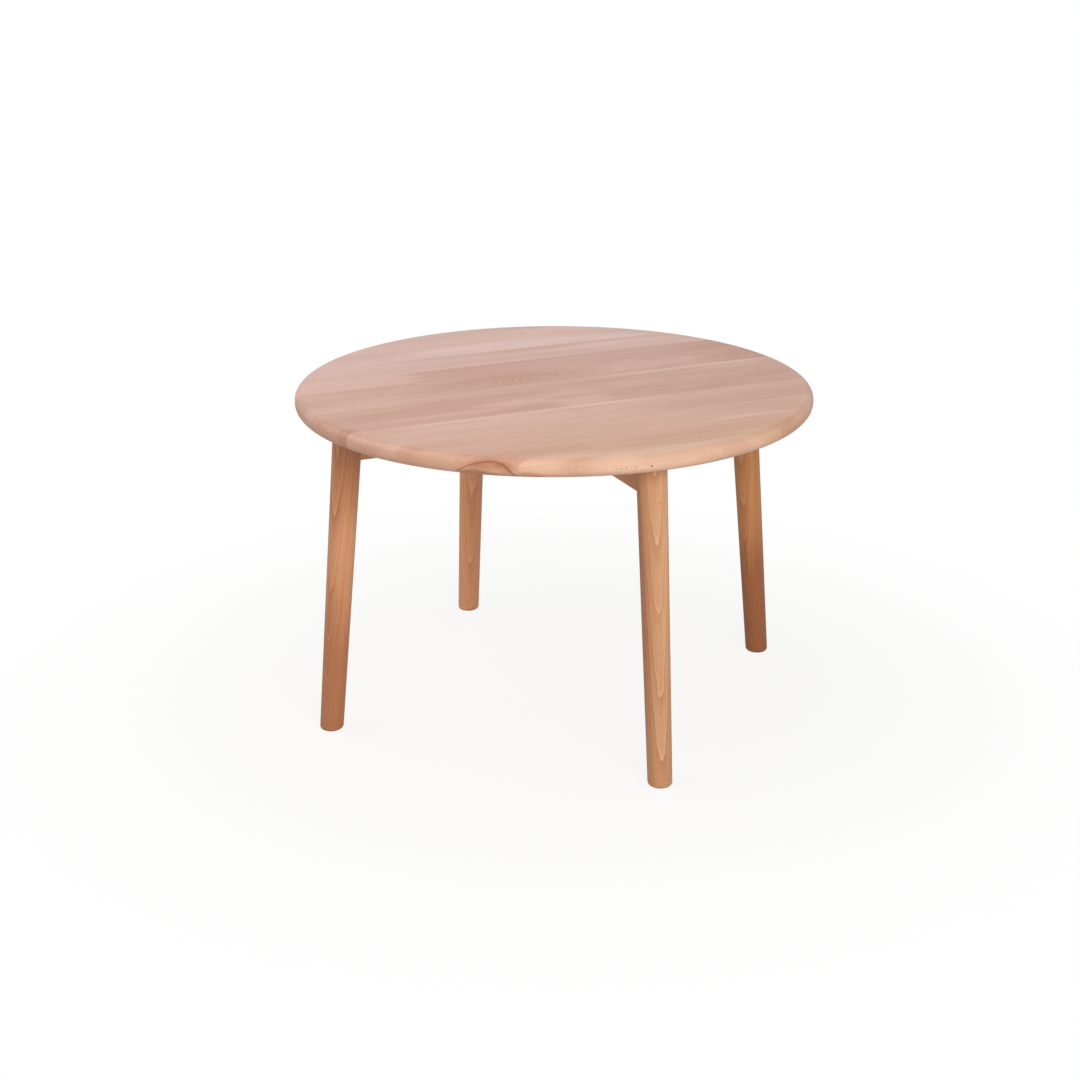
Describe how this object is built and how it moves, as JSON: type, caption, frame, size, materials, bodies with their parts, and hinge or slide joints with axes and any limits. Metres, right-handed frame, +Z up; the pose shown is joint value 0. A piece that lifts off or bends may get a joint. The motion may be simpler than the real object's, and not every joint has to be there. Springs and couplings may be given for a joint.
{
  "type": "round childrens table",
  "caption": "Low round childrens table in solid beech: a glued stave top with a rounded edge on crossed rails and splayed turned legs.",
  "frame": {"origin": "on the floor, under the centre of the round top", "axes": "+Z up, +X along the grain of the top and along one rail, +Y along the other rail"},
  "size_m": [0.7, 0.7, 0.45],
  "materials": {
    "top_beech": "oiled, satin",
    "leg_beech": "oiled, satin",
    "rail_beech": "oiled, satin",
    "dowel_beech": "raw",
    "zinc_steel": "zinc plated"
  },
  "bodies": {
    "root": {"top_stave_1": "top_beech", "top_stave_2": "top_beech", "top_stave_3": "top_beech", "top_stave_4": "top_beech", "top_stave_5": "top_beech", "top_stave_6": "top_beech", "top_stave_7": "top_beech", "top_stave_8": "top_beech", "top_stave_9": "top_beech", "top_stave_10": "top_beech", "top_stave_11": "top_beech", "top_stave_12": "top_beech", "top_stave_13": "top_beech", "top_stave_14": "top_beech", "rail_along_grain": "rail_beech", "rail_across_grain": "rail_beech", "leg_front_left": "leg_beech", "leg_front_right": "leg_beech", "leg_back_right": "leg_beech", "leg_back_left": "leg_beech", "leg_dowels": "dowel_beech", "hanger_bolts": "zinc_steel", "half_moon_washers": "zinc_steel", "hex_nuts": "zinc_steel", "top_screws": "zinc_steel", "screw_washers": "zinc_steel"}
  },
  "joints": []
}
